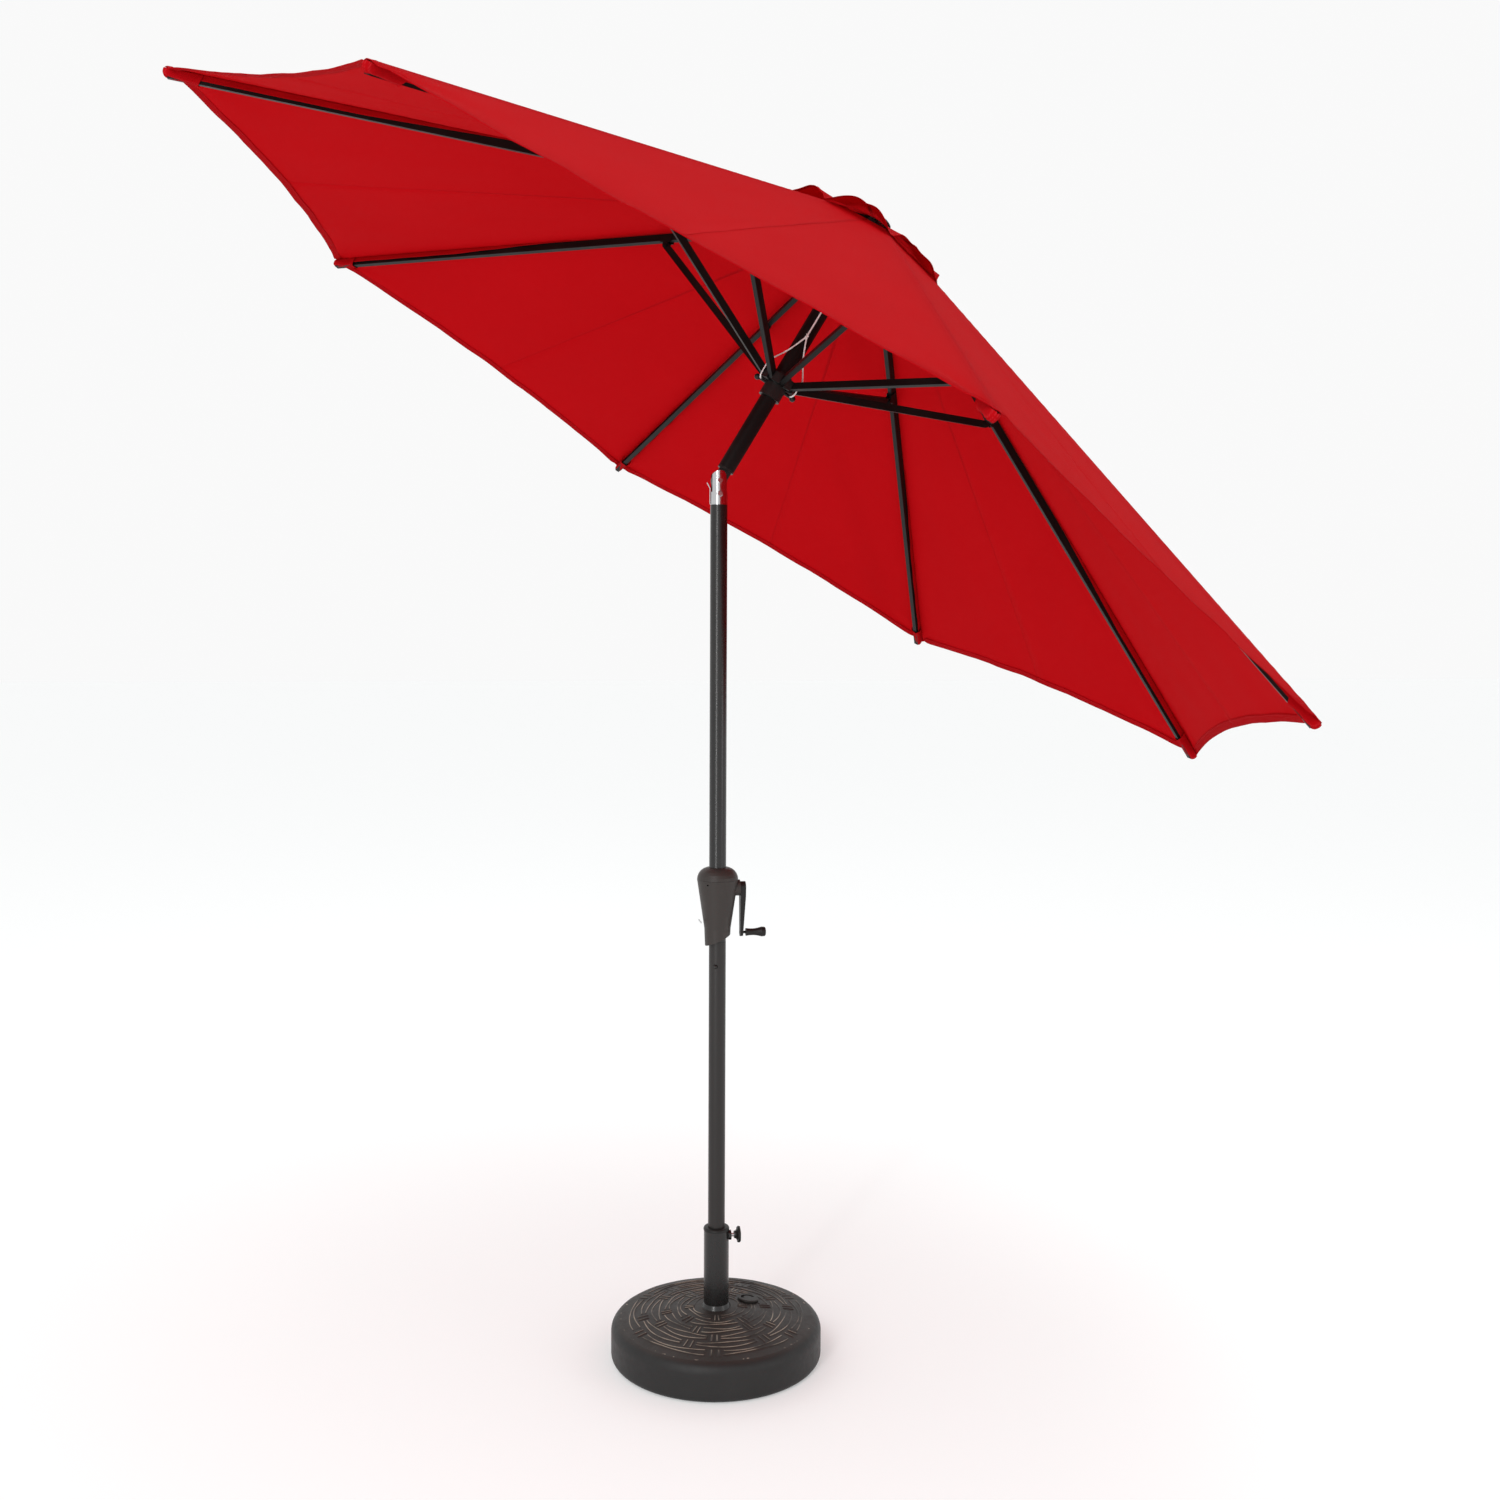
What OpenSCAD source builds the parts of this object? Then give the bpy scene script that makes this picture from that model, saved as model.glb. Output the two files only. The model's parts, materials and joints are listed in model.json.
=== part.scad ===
// Crank-lift patio umbrella with a push-button tilt, standing in a filled round base.
// Millimetres, +Z up. The origin is the centre of the base's underside.
// The canopy leans towards +X. Its hinge pin lies along Y.

/* [Base] */
// Diameter of the base
base_d = 474; // [420:2:520]
// Height of the base's shoulder
base_h = 84; // [70:1:100]
// Height of the base's top where it meets the tube
base_crown = 112; // [104:1:125]
// Wall of the base's moulded shell
base_wall = 3.5; // [2.5:0.5:5]
// Outside diameter of the base's steel tube
socket_d = 56.5; // [54:0.5:60]
// Height of the top of the steel tube
socket_top = 288; // [260:1:320]
// Distance of the filling plug from the centre
plug_reach = 84; // [70:1:120]
// Direction of the filling plug, in degrees from +X
plug_turn = 22; // [10:1:80]
// Height of the clamping knob
knob_z = 273; // [250:1:276]

/* [Pole] */
// Outside diameter of the pole
pole_d = 38; // [36:1:40]
// Wall of the pole's tubes
pole_wall = 1.5; // [1:0.25:2]
// Height where the lower pole ends inside the crank housing
joint_z = 944; // [930:1:960]
// Height of the snap button
snap_z = 890; // [860:1:910]
// Direction of the snap button, in degrees from +X
snap_turn = -111; // [-130:1:-60]
// Height of the tilt pin
pivot_z = 1970; // [1900:5:2050]

/* [Crank] */
// Height of the crank's shaft
crank_z = 1064; // [1050:1:1070]
// Length of the crank's arm, from shaft to grip
crank_arm_l = 101; // [80:1:115]
// Radius of the crank housing at its rim
housing_r = 46; // [44:1:50]

/* [Canopy] */
// Lean of the canopy
tilt = 31; // [10:1:34]
// Distance from the tilt pin up to the hub's pin circle
hub_z = 662; // [600:1:700]
// Distance from the hub's pin circle down to the runner's
runner_drop = 405; // [380:1:420]
// Slope of the open ribs
slope = 23.8; // [18:0.1:26]
// Length of a rib, from its pin to its tip
rib_l = 1458; // [1200:1:1500]
// Distance along a rib from its pin to its strut
strut_reach = 483; // [460:1:500]
// Direction of the first rib, in degrees from the downhill side
first_rib = 7; // [0:0.5:22]
// Radius of the canopy at the tip of a rib
canopy_r = 1378; // [1200:1:1400]
// Dip of the hem between two tips
hem_dip = 45; // [20:1:80]
// Thickness of the cloth's solids
cloth_t = 1.2; // [0.8:0.2:3]
// Radius of the vent cap at a rib
vent_r = 215; // [180:1:250]

/* [Hidden] */
$fn = 64;

ribs = 8;
rib_step = 360 / ribs;
half_gore = rib_step / 2;
pole_r = pole_d / 2;
bore_r = pole_r - pole_wall;
cord_r = 1.8;
base_r = base_d / 2;
socket_r = socket_d / 2;
socket_wall = 2;
socket_floor = 20;
plug_r = 21;
screw_r = 4;

// ring of pins that the ribs and struts hang on, in the hub and in the runner
pin_ring = 33;
pin_r = 2;
slot_w = 12.8;
hub_r = 42;
runner_z = hub_z - runner_drop;
rib_w = 12;
rib_h = 18;
strut_w = 11.4;
strut_h = 16;
tube_wall = 0.8;
// the strut's pin hangs this far under the rib's middle
strut_hang = 20;
strut_pin_r = 2.5;
// play of the strut's far hole on its pin
strut_play = 2.9;
joint_x = pin_ring + strut_reach * cos(slope) - strut_hang * sin(slope);
joint_h = -strut_reach * sin(slope) - strut_hang * cos(slope);
strut_rise = atan2(joint_h + runner_drop, joint_x - pin_ring);
strut_l = norm([joint_x - pin_ring, joint_h + runner_drop]);

fork_slot = 20.6;
fork_floor = pivot_z - 25;
collar_r = pole_r + 0.1;
collar_foot = pivot_z - 53;
tongue_w = 20;
tongue_r = 17;
upper_foot = 31;
button_z = pivot_z - 30;
pulley_z = hub_z - 36;
pulley_y = -14.5;
groove_r = 6.9;
cord_y = pulley_y - groove_r - cord_r - 0.1;
// where the lift cord splits above the runner
split_z = runner_z + 112;
bolt_z = runner_z - 15;

black_steel = "#2a2726";
brown_steel = "#3a3433";
plastic = "#45403e";
resin = "#2b2a29";
chrome = "#c8c9cb";
red_cloth = "#c8202c";
white_cord = "#e9e7e2";

module canopy_frame() {
    translate([0, 0, pivot_z])
        rotate([0, tilt, 0])
            children();
}

module at_rib(k) {
    canopy_frame()
        rotate([0, 0, first_rib + rib_step * k])
            children();
}

module along_x(x0, x1, r) {
    translate([x0, 0, 0])
        rotate([0, 90, 0])
            cylinder(h = x1 - x0, r = r);
}

module along_y(y0, y1, r) {
    translate([0, y0, 0])
        rotate([-90, 0, 0])
            cylinder(h = y1 - y0, r = r);
}

module pipe(z0, z1, r, bore) {
    translate([0, 0, z0])
        difference() {
            cylinder(h = z1 - z0, r = r);
            translate([0, 0, -1])
                cylinder(h = z1 - z0 + 2, r = bore);
        }
}

// straight round cord between two points
module cord_run(a, b) {
    d = b - a;
    translate(a)
        rotate([0, acos(d[2] / norm(d)), atan2(d[1], d[0])])
            cylinder(h = norm(d), r = cord_r, $fn = 24);
}

// ---- base ----

function base_outline(inset) = concat(
    [[0, inset]],
    [for (a = [-90:15:0]) [base_r - 14 + (14 - inset) * cos(a), 14 + (14 - inset) * sin(a)]],
    [for (a = [0:15:75]) [base_r - 24 + (24 - inset) * cos(a), base_h - 22 + (24 - inset) * sin(a)]],
    [[150, base_h + 13 - inset], [80, base_h + 23 - inset], [34, base_crown - inset],
     [0, base_crown - inset]]);

module plug_place() {
    rotate([0, 0, plug_turn])
        translate([plug_reach, 0, base_h + 19.5])
            rotate([0, 8, 0])
                children();
}

module base_shell() {
    color(resin) difference() {
        union() {
            difference() {
                rotate_extrude($fn = 128) polygon(base_outline(0));
                rotate_extrude($fn = 128) polygon(base_outline(base_wall));
            }
            translate([0, 0, base_wall / 2])
                cylinder(h = base_crown - base_wall, r = socket_r + 4);
            intersection() {
                plug_place()
                    translate([0, 0, -16])
                        cylinder(h = 20, r = plug_r + 3.5);
                rotate_extrude($fn = 128) polygon(base_outline(0.5));
            }
        }
        translate([0, 0, socket_floor])
            cylinder(h = base_crown, r = socket_r + 0.1);
        plug_place()
            translate([0, 0, -20])
                cylinder(h = 40, r = plug_r + 0.4);
    }
}

module base_ballast() {
    gap = base_wall + 0.5;
    color("#b59a6a") difference() {
        rotate_extrude($fn = 96) polygon(base_outline(gap));
        translate([0, 0, base_h - 6])
            cylinder(h = base_crown, r = base_r);
        cylinder(h = base_crown * 3, r = socket_r + 4.5, center = true);
        plug_place()
            translate([0, 0, -17])
                cylinder(h = 40, r = plug_r + 4.5);
    }
}

module base_tube() {
    color(black_steel) difference() {
        union() {
            translate([0, 0, socket_floor])
                cylinder(h = socket_top - socket_floor, r = socket_r);
            translate([0, 0, base_crown])
                cylinder(h = 9, r1 = socket_r + 4.5, r2 = socket_r);
            translate([0, 0, knob_z])
                along_x(socket_r - 1.5, socket_r + 5, 11);
        }
        translate([0, 0, -1])
            cylinder(h = socket_top + 2, r = socket_r - socket_wall);
        translate([0, 0, knob_z])
            along_x(10, 60, screw_r + 0.1);
    }
}

module pole_sleeve() {
    bore = pole_r + 0.35;
    lip_r = socket_r + 1;
    color("#1d1b1a") difference() {
        rotate_extrude() polygon(concat(
            [[bore, socket_floor + 4], [socket_r - socket_wall - 0.1, socket_floor + 4],
             [socket_r - socket_wall - 0.1, socket_top], [lip_r, socket_top]],
            [for (a = [0:15:90]) [lip_r - 5 + 5 * cos(a), socket_top + 2 + 5 * sin(a)]],
            [[bore, socket_top + 7]]));
        translate([0, 0, knob_z])
            along_x(10, 60, screw_r + 0.3);
    }
}

module fill_plug() {
    color("#242221") plug_place() difference() {
        union() {
            translate([0, 0, -14])
                cylinder(h = 20, r = plug_r);
            rotate_extrude() polygon(concat(
                [[0, 5.2], [plug_r + 3.5, 5.2]],
                [for (a = [0:15:90]) [plug_r + 1 + 2.5 * cos(a), 6 + 2.5 * sin(a)]],
                [[0, 8.5]]));
        }
        // curved finger recess
        translate([0, 0, 5]) intersection() {
            pipe(0, 5, plug_r - 4, plug_r - 11);
            translate([-50, 0, -1]) cube([100, 50, 10]);
        }
        translate([0, 0, -16])
            cylinder(h = 17, r = plug_r - 3);
    }
}

module clamp_screw() {
    color(chrome) translate([0, 0, knob_z]) difference() {
        along_x(pole_r + 0.35, socket_r + 19, screw_r);
        along_x(socket_r + 9, socket_r + 30, 1);
    }
}

module clamp_knob() {
    x0 = socket_r + 12;
    color("#1d1b1a") translate([x0, 0, knob_z]) rotate([0, 90, 0]) difference() {
        union() {
            rotate_extrude() polygon(concat(
                [[0, 0], [8, 0], [9, 4], [14, 7.5]],
                [for (a = [-60:20:90]) [14.5 + 3.5 * cos(a), 10.5 + 3.5 * sin(a)]],
                [[6, 13], [0, 12.5]]));
            for (k = [0:5])
                rotate([0, 0, k * 60])
                    translate([14.2, 0, 7.5])
                        cylinder(h = 6, r = 4);
        }
        translate([0, 0, -1])
            cylinder(h = 8.2, r = screw_r + 0.1);
    }
}

// ---- pole ----

module snap_place() {
    translate([0, 0, snap_z])
        rotate([0, 0, snap_turn])
            children();
}

module lower_pole() {
    color(brown_steel) difference() {
        pipe(socket_floor + 4, joint_z, pole_r, bore_r);
        snap_place() along_x(5, 30, 5);
    }
}

module pole_coupler() {
    color(black_steel) difference() {
        pipe(joint_z - 110, joint_z + 66, bore_r - 0.15, bore_r - 1.65);
        snap_place() along_x(5, 30, 4.4);
    }
}

module snap_button() {
    color(chrome) snap_place() {
        along_x(11, pole_r + 2, 4);
        along_x(10.5, 13, 5.5);
        translate([pole_r + 2, 0, 0])
            intersection() {
                sphere(r = 4);
                along_x(-0.01, 6, 5);
            }
    }
}

module middle_pole() {
    color(black_steel) difference() {
        pipe(joint_z + 0.4, collar_foot, pole_r, bore_r);
        translate([0, 0, crank_z]) along_x(-30, 30, 5.7);
    }
}

// ---- crank ----

housing_rim = crank_z + 20;
housing_top = crank_z + 47;
function housing_outline(inset) = concat(
    [for (a = [0:15:90]) [pole_r + 0.4 + (housing_r - inset - pole_r - 0.4) * sin(a),
        housing_rim + (housing_top - housing_rim - inset) * cos(a)]],
    [[29.5 - inset, crank_z - 90], [27.5 - inset, crank_z - 140], [0, crank_z - 140],
     [0, housing_top - inset]]);

module housing_solid() {
    difference() {
        union() {
            difference() {
                rotate_extrude() polygon(housing_outline(0));
                rotate_extrude() polygon(housing_outline(2.5));
            }
            // collar that grips the pole, and the crank's bearing boss
            pipe(crank_z - 84, crank_z - 60, 27, pole_r + 0.1);
            translate([0, 0, crank_z]) along_x(30, 50, 18);
        }
        cylinder(h = 3000, r = pole_r + 0.1);
        translate([0, 0, crank_z]) along_x(10, 60, 5.3);
        translate([0, 0, crank_z - 116])
            rotate([0, -24, 0])
                translate([-80, -80, -100])
                    cube([160, 160, 100]);
        for (z = [crank_z - 74, crank_z + 12])
            translate([-29 + (z - crank_z) * 0.14, 0, z])
                along_y(-60, 60, 1.8);
    }
}

module housing_front() {
    color(plastic) intersection() {
        housing_solid();
        translate([-80, -80.1, crank_z - 150])
            cube([160, 80, 170 - 0.2]);
    }
}

module housing_rear() {
    color(plastic) intersection() {
        housing_solid();
        translate([-80, 0.1, crank_z - 150])
            cube([160, 80, 170 - 0.2]);
    }
}

module housing_cap() {
    color(plastic) intersection() {
        housing_solid();
        translate([-80, -80, housing_rim + 0.2])
            cube([160, 160, 60]);
    }
}

module housing_screws() {
    color(chrome)
        for (z = [crank_z - 74, crank_z + 12])
            translate([-29 + (z - crank_z) * 0.14, 0, z])
                along_y(-18, 18, 1.7);
}

module crank_shaft() {
    color(chrome) translate([0, 0, crank_z]) along_x(-24, 62, 5);
}

module cord_spool() {
    color("#e9e7e2") translate([0, 0, crank_z]) difference() {
        union() {
            along_x(-9, 9, 10);
            along_x(-9, -7, 14.5);
            along_x(7, 9, 14.5);
            // turns of cord wound on the spool
            along_x(-6.9, 6.9, 12);
        }
        along_x(-20, 20, 5.05);
    }
}

module crank_arm() {
    arm_x = 50.6;
    color("#1f1c1b") translate([arm_x, 0, crank_z]) difference() {
        rotate([90, 0, 90])
            linear_extrude(height = 12)
                union() {
                    circle(r = 14);
                    polygon([[-13, -5], [13, -5], [8, -crank_arm_l], [-8, -crank_arm_l]]);
                    translate([0, -crank_arm_l]) circle(r = 9);
                }
        // the arm's outer face slopes in towards the grip
        translate([12, -30, -18])
            rotate([0, 3.5, 0])
                translate([0, 0, -crank_arm_l - 20])
                    cube([20, 60, crank_arm_l + 20]);
        along_x(-5, 30, 5.1);
        translate([0, 0, -crank_arm_l]) along_x(-5, 30, 3.05);
    }
}

module grip_pin() {
    color(chrome) translate([0, 0, crank_z - crank_arm_l]) {
        along_x(51, 106, 3);
        along_x(104, 106.5, 5);
    }
}

module crank_grip() {
    color("#1d1b1a") translate([0, 0, crank_z - crank_arm_l]) rotate([0, 90, 0])
        rotate_extrude() polygon(concat(
            [[3.1, 64], [8.5, 64]],
            [for (t = [0:0.125:1]) [8.5 - 1.5 * sin(180 * t) + 2.5 * t * t, 66 + 34 * t]],
            [[10.5, 107], [8.5, 109], [5.4, 109], [5.4, 103.8], [3.1, 103.8]]));
}

module lower_cord() {
    y = 12 + cord_r + 0.1;
    color(white_cord)
        cord_run([0, y, crank_z], [0, 9, collar_foot - 49]);
}

// ---- tilt joint ----

module fork_outline() {
    translate([-collar_r, fork_floor - pivot_z - 1])
        square([2 * collar_r, 29]);
    translate([0, 3])
        circle(r = collar_r);
}

module tilt_collar() {
    color(chrome) difference() {
        union() {
            translate([0, 0, collar_foot - 45])
                cylinder(h = 46, r = bore_r - 0.1);
            translate([0, 0, collar_foot])
                cylinder(h = fork_floor - collar_foot, r = collar_r);
            intersection() {
                translate([0, 0, fork_floor - 1])
                    cylinder(h = 60, r = collar_r);
                translate([0, 30, pivot_z])
                    rotate([90, 0, 0])
                        linear_extrude(height = 60)
                            fork_outline();
            }
        }
        translate([-40, -fork_slot / 2, fork_floor])
            cube([80, fork_slot, 80]);
        translate([0, 0, pivot_z]) along_y(-30, 30, 4.05);
        translate([0, 0, button_z]) {
            along_y(-30, -6, 4.8);
            along_y(-30, -14.4, 6.4);
        }
        translate([0, 9, collar_foot - 50])
            cylinder(h = 100, r = cord_r + 1);
    }
}

module tilt_pin() {
    color(chrome) translate([0, 0, pivot_z]) {
        along_y(-collar_r - 0.2, collar_r + 0.2, 4);
        along_y(-collar_r - 1.6, -collar_r - 0.1, 5.5);
        along_y(collar_r + 0.1, collar_r + 1.6, 5.5);
    }
}

module tilt_button() {
    color(chrome) translate([0, 0, button_z]) {
        along_y(-20.6, -17.8, 6);
        translate([0, -20.6, 0])
            rotate([90, 0, 0])
                cylinder(h = 1, r1 = 6, r2 = 5);
        along_y(-18, -10, 4.5);
    }
}

module latch_leaf() {
    color(chrome) translate([0, 4.5, 0]) rotate([90, 0, 0])
        linear_extrude(height = 9)
            polygon([[-collar_r, collar_foot + 2], [-collar_r, pivot_z - 17],
                     [-26, pivot_z - 4], [-26.8, pivot_z - 4.6],
                     [-collar_r - 1, pivot_z - 17], [-collar_r - 1, collar_foot + 2]]);
}

module tilt_knuckle() {
    color("#1f1c1b") canopy_frame() difference() {
        union() {
            along_y(-tongue_w / 2, tongue_w / 2, tongue_r);
            translate([-14, -tongue_w / 2, 0])
                cube([28, tongue_w, upper_foot]);
            translate([0, 0, upper_foot - 4])
                cylinder(h = 4, r = pole_r);
            translate([0, 0, upper_foot - 0.5])
                cylinder(h = 45, r = bore_r - 0.1);
        }
        along_y(-30, 30, 4.1);
    }
}

// ---- canopy frame ----

module upper_pole() {
    color(black_steel) canopy_frame() difference() {
        pipe(upper_foot, hub_z + 9.8, pole_r, bore_r);
        translate([-4.8, -30, pulley_z - 13]) cube([9.6, 22, 26]);
        translate([0, pulley_y, pulley_z]) along_x(-20, 20, pin_r + 0.05);
    }
}

module pulley() {
    color("#d8d6d0") canopy_frame() translate([0, pulley_y, pulley_z]) rotate([0, 90, 0])
        rotate_extrude() polygon([[pin_r + 0.08, -4], [10, -4], [10, -2.6], [groove_r, -2],
            [groove_r, 2], [10, 2.6], [10, 4], [pin_r + 0.08, 4]]);
}

module upper_cord() {
    y_in = pulley_y + groove_r + cord_r + 0.1;
    color(white_cord) canopy_frame() {
        cord_run([0, y_in, upper_foot + 48], [0, y_in, pulley_z]);
        translate([0, pulley_y, pulley_z])
            rotate([0, 90, 0])
                rotate([0, 0, 90])
                    rotate_extrude(angle = 180)
                        translate([groove_r + cord_r + 0.1, 0])
                            circle(r = cord_r, $fn = 24);
    }
}

// body with a slot for each rib or strut, and a bore for each pin
module slotted_ring(z0, z1) {
    difference() {
        pipe(z0, z1, hub_r, pole_r + 0.1);
        for (k = [0:ribs - 1])
            rotate([0, 0, first_rib + rib_step * k]) {
                translate([22.5, -slot_w / 2, z0 - 1])
                    cube([40, slot_w, z1 - z0 + 2]);
                translate([pin_ring, 0, 0])
                    along_y(-9.7, 9.7, pin_r + 0.05);
            }
    }
}

module hub() {
    color("#1d1b1a") canopy_frame() translate([0, 0, hub_z]) difference() {
        union() {
            slotted_ring(-12, 5.5);
            // lid over the end of the pole
            translate([0, 0, 5])
                cylinder(h = 8, r = 22.4);
        }
        translate([0, 0, -20])
            cylinder(h = 30, r = pole_r + 0.1);
        cylinder(h = 40, r = 3.1);
    }
}

module ring_pins() {
    for (k = [0:ribs - 1])
        rotate([0, 0, first_rib + rib_step * k])
            translate([pin_ring, 0, 0])
                along_y(-9.6, 9.6, pin_r);
}

// the ribs' pins and the pulley's
module hub_pins() {
    color(chrome) canopy_frame() {
        translate([0, 0, hub_z]) ring_pins();
        translate([0, pulley_y, pulley_z]) along_x(-11.5, 11.5, pin_r);
    }
}

module finial() {
    foot = 17.6;
    color("#161413") canopy_frame() translate([0, 0, hub_z]) {
        translate([0, 0, 2])
            cylinder(h = foot - 1.5, r = 3);
        rotate_extrude() polygon(concat(
            [[0, foot], [33, foot]],
            [for (a = [0:10:90]) [38 * cos(a), foot + 2.5 + 9 * sin(a)]]));
    }
}

module runner() {
    bore = pole_r + 0.4;
    color("#1d1b1a") canopy_frame() translate([0, 0, runner_z]) difference() {
        union() {
            slotted_ring(-11, 11);
            pipe(-42, -10.5, 25, bore);
            pipe(10.5, 20, 22.4, bore);
        }
        cylinder(h = 200, r = bore, center = true);
        translate([0, 0, bolt_z - runner_z]) {
            along_x(-30, -15, 3.05);
            along_x(15, 30, 3.05);
        }
    }
}

module runner_pins() {
    color(chrome) canopy_frame() translate([0, 0, runner_z]) ring_pins();
}

module runner_bolts() {
    color(chrome) canopy_frame() translate([0, 0, bolt_z]) for (s = [-1, 1]) {
        rotate([0, 0, s < 0 ? 180 : 0]) {
            along_x(20.5, 41, 3);
            translate([46, 0, 0]) sphere(r = 7, $fn = 48);
        }
    }
}

// smooth round tube along a list of points, with the sides of an octagon
module cord_tube(route) {
    sides = 8;
    last = len(route) - 1;
    function way(i) = let (d = route[min(i + 1, last)] - route[max(i - 1, 0)]) d / norm(d);
    rings = [for (i = [0:last])
        let (u = cross(way(i), [1, 0, 0]), a = u / norm(u), b = cross(way(i), a))
        for (n = [0:sides - 1])
            route[i] + cord_r * (a * cos(n * 360 / sides) + b * sin(n * 360 / sides))];
    polyhedron(
        points = rings,
        faces = concat(
            [[for (n = [0:sides - 1]) n]],
            [for (i = [0:last - 1], n = [0:sides - 1])
                let (m = (n + 1) % sides)
                [i * sides + n, (i + 1) * sides + n, (i + 1) * sides + m, i * sides + m]],
            [[for (n = [sides - 1:-1:0]) last * sides + n]]));
}

// the split cord: one strand from the pulley, and two legs down to the runner's bolts
module lift_cord() {
    color(white_cord) canopy_frame() {
        cord_tube([[0, cord_y, pulley_z - 0.1], [0, cord_y, split_z + 40], [0, cord_y, split_z - 4]]);
        for (s = [-1, 1])
            cord_tube([[s * 0.6, cord_y, split_z + 4], [s * 4, cord_y + 0.6, split_z - 8],
                [s * 20, -20, split_z - 45], [s * 40, -15.6, runner_z + 34],
                [s * 44, -15, runner_z + 22], [s * 44, -15, bolt_z + 14],
                [s * 43.4, -14, bolt_z + 6], [s * 40.6, -9.2, bolt_z + 1], [s * 38.3, -5, bolt_z]]);
    }
}

// ---- ribs and struts ----

module square_tube(l, w, h, end0, end1) {
    difference() {
        translate([0, -w / 2, -h / 2])
            cube([l, w, h]);
        translate([end0, -w / 2 + tube_wall, -h / 2 + tube_wall])
            cube([l - end0 - end1, w - 2 * tube_wall, h - 2 * tube_wall]);
    }
}

// a rib along +X from its pin, with the bracket for its strut, that pin and the tip plug
module rib() {
    difference() {
        union() {
            square_tube(rib_l - 20, rib_w, rib_h, 14, -1);
            along_y(-rib_w / 2, rib_w / 2, rib_h / 2);
            for (s = [-1, 1])
                translate([strut_reach, s * (rib_w / 2 + 1), 0])
                    rotate([90, 0, 0])
                        linear_extrude(height = 2, center = true) {
                            translate([-14, -strut_hang + 7]) square([28, strut_hang - 3]);
                            translate([-7, -strut_hang]) square([14, 10]);
                            translate([0, -strut_hang]) circle(r = 7);
                        }
        }
        along_y(-20, 20, pin_r + 0.08);
        translate([strut_reach, 0, -strut_hang]) along_y(-20, 20, strut_pin_r + 0.05);
    }
    translate([strut_reach, 0, -strut_hang]) {
        along_y(-8.5, 8.5, strut_pin_r);
        along_y(-10, -8.1, 4.5);
        along_y(8.1, 10, 4.5);
    }
    translate([rib_l - 40, -rib_w / 2 + tube_wall + 0.1, -rib_h / 2 + tube_wall + 0.1])
        cube([30, rib_w - 2 * tube_wall - 0.2, rib_h - 2 * tube_wall - 0.2]);
    translate([rib_l - 19.9, -rib_w / 2, -rib_h / 2])
        cube([19.9, rib_w, rib_h]);
}

module rib_at(k) {
    color(black_steel) at_rib(k)
        translate([pin_ring, 0, hub_z])
            rotate([0, slope, 0])
                rib();
}

module strut_at(k) {
    color(black_steel) at_rib(k)
        translate([pin_ring, 0, runner_z])
            rotate([0, -strut_rise, 0])
                difference() {
                    union() {
                        square_tube(strut_l, strut_w, strut_h, 12, 14);
                        along_y(-strut_w / 2, strut_w / 2, strut_h / 2);
                        translate([strut_l, 0, 0])
                            along_y(-strut_w / 2, strut_w / 2, strut_h / 2);
                    }
                    along_y(-20, 20, pin_r + 0.08);
                    translate([strut_l, 0, 0])
                        along_y(-20, 20, strut_pin_r + strut_play);
                }
}

// ---- cloth ----

// height of the main cloth and of the vent cap over the hub's pin circle, at radius r on a rib
cloth_gap = 1.6;
function cloth_z(r) = (rib_h / 2 + cloth_gap) / cos(slope) - (r - pin_ring) * tan(slope);
function vent_z(r) = 15.4 - (r - 20) * 0.33;

// point of a flat gore at rib radius r and angle a from the rib, kept clear of its neighbour
function gore_point(r, a, z) =
    let (q = r * cos(half_gore) / cos(half_gore - abs(a)))
    [q * cos(a), q * sin(a) - 0.2 * sign(a), z];

// hem radius at angle a: full at the rib, dipped in the middle of the gore
function hem_r(a, r, dip) =
    let (u = tan(half_gore - abs(a)) / tan(half_gore))
    r - dip * (1 - u * u);

// closed sheet over a grid of points, t thick downwards
module sheet(grid, t) {
    m = len(grid);
    n = len(grid[0]);
    top = [for (row = grid, p = row) p];
    low = [for (p = top) p - [0, 0, t]];
    s = m * n;
    polyhedron(
        points = concat(top, low),
        faces = concat(
            [for (i = [0:m - 2], j = [0:n - 2]) each [
                [i * n + j, i * n + j + 1, (i + 1) * n + j],
                [i * n + j + 1, (i + 1) * n + j + 1, (i + 1) * n + j]]],
            [for (i = [0:m - 2], j = [0:n - 2]) each [
                [s + i * n + j + 1, s + i * n + j, s + (i + 1) * n + j],
                [s + (i + 1) * n + j + 1, s + i * n + j + 1, s + (i + 1) * n + j]]],
            [for (j = [0:n - 2]) each [
                [j + 1, j, s + j],
                [s + j + 1, j + 1, s + j]]],
            [for (j = [0:n - 2]) let (e = (m - 1) * n) each [
                [e + j, e + j + 1, s + e + j],
                [e + j + 1, s + e + j + 1, s + e + j]]],
            [for (i = [0:m - 2]) each [
                [i * n, (i + 1) * n, s + i * n],
                [(i + 1) * n, s + (i + 1) * n, s + i * n]]],
            [for (i = [0:m - 2]) let (e = n - 1) each [
                [(i + 1) * n + e, i * n + e, s + i * n + e],
                [s + (i + 1) * n + e, (i + 1) * n + e, s + i * n + e]]]));
}

gore_angles = [-half_gore, -15, -7.5, 0, 7.5, 15, half_gore];

module canopy_at(k) {
    color(red_cloth) at_rib(k) translate([0, 0, hub_z]) {
        sheet([for (t = [0, 0.3, 0.65, 1]) [for (a = gore_angles)
            let (r = 150 + (hem_r(a, canopy_r, hem_dip) - 150) * t)
            gore_point(r, a, cloth_z(r) + cloth_t)]], cloth_t);
        sheet([for (t = [0, 0.5, 1]) [for (a = gore_angles)
            let (r = 20 + (vent_r - 20) * t)
            gore_point(r, a, vent_z(r) + cloth_t)]], cloth_t);
    }
}

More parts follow.
